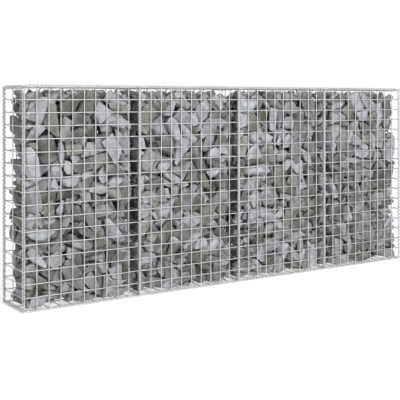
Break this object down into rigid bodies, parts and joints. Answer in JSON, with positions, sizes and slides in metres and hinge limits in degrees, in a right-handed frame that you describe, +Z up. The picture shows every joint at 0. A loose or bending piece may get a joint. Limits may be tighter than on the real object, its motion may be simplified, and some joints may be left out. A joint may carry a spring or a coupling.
{
  "type": "gabion wall",
  "caption": "Free-standing gabion wall: angular stone fill in bays of welded wire mesh, with covers, bases, ends and partitions laced together by wire spirals.",
  "frame": {"origin": "on the ground, under the middle of the wall", "axes": "+X along the wall, the front face looks towards -Y, +Z up"},
  "size_m": [2.013, 0.2162, 0.86],
  "materials": {
    "mesh_wire": "galvanised, satin",
    "lacing_wire": "galvanised, satin",
    "stone": "rough crushed rock"
  },
  "bodies": {
    "root": {"front_panel_1": "mesh_wire", "front_panel_2": "mesh_wire", "front_panel_3": "mesh_wire", "front_panel_4": "mesh_wire", "back_panel_1": "mesh_wire", "back_panel_2": "mesh_wire", "back_panel_3": "mesh_wire", "back_panel_4": "mesh_wire", "cover_panel_1": "mesh_wire", "cover_panel_2": "mesh_wire", "cover_panel_3": "mesh_wire", "cover_panel_4": "mesh_wire", "base_panel_1": "mesh_wire", "base_panel_2": "mesh_wire", "base_panel_3": "mesh_wire", "base_panel_4": "mesh_wire", "left_end_panel": "mesh_wire", "right_end_panel": "mesh_wire", "partition_panel_1": "mesh_wire", "partition_panel_2": "mesh_wire", "partition_panel_3": "mesh_wire", "stone_fill_1": "stone", "stone_fill_2": "stone", "stone_fill_3": "stone", "stone_fill_4": "stone", "corner_spiral_front_left": "lacing_wire", "corner_spiral_front_right": "lacing_wire", "corner_spiral_back_left": "lacing_wire", "corner_spiral_back_right": "lacing_wire", "joint_spiral_front_1": "lacing_wire", "joint_spiral_front_2": "lacing_wire", "joint_spiral_front_3": "lacing_wire", "joint_spiral_back_1": "lacing_wire", "joint_spiral_back_2": "lacing_wire", "joint_spiral_back_3": "lacing_wire", "top_spiral_front": "lacing_wire", "top_spiral_back": "lacing_wire", "top_spiral_left": "lacing_wire", "top_spiral_right": "lacing_wire", "base_spiral_front": "lacing_wire", "base_spiral_back": "lacing_wire", "base_spiral_left": "lacing_wire", "base_spiral_right": "lacing_wire", "cover_joint_spirals": "lacing_wire", "base_joint_spirals": "lacing_wire"}
  },
  "joints": []
}
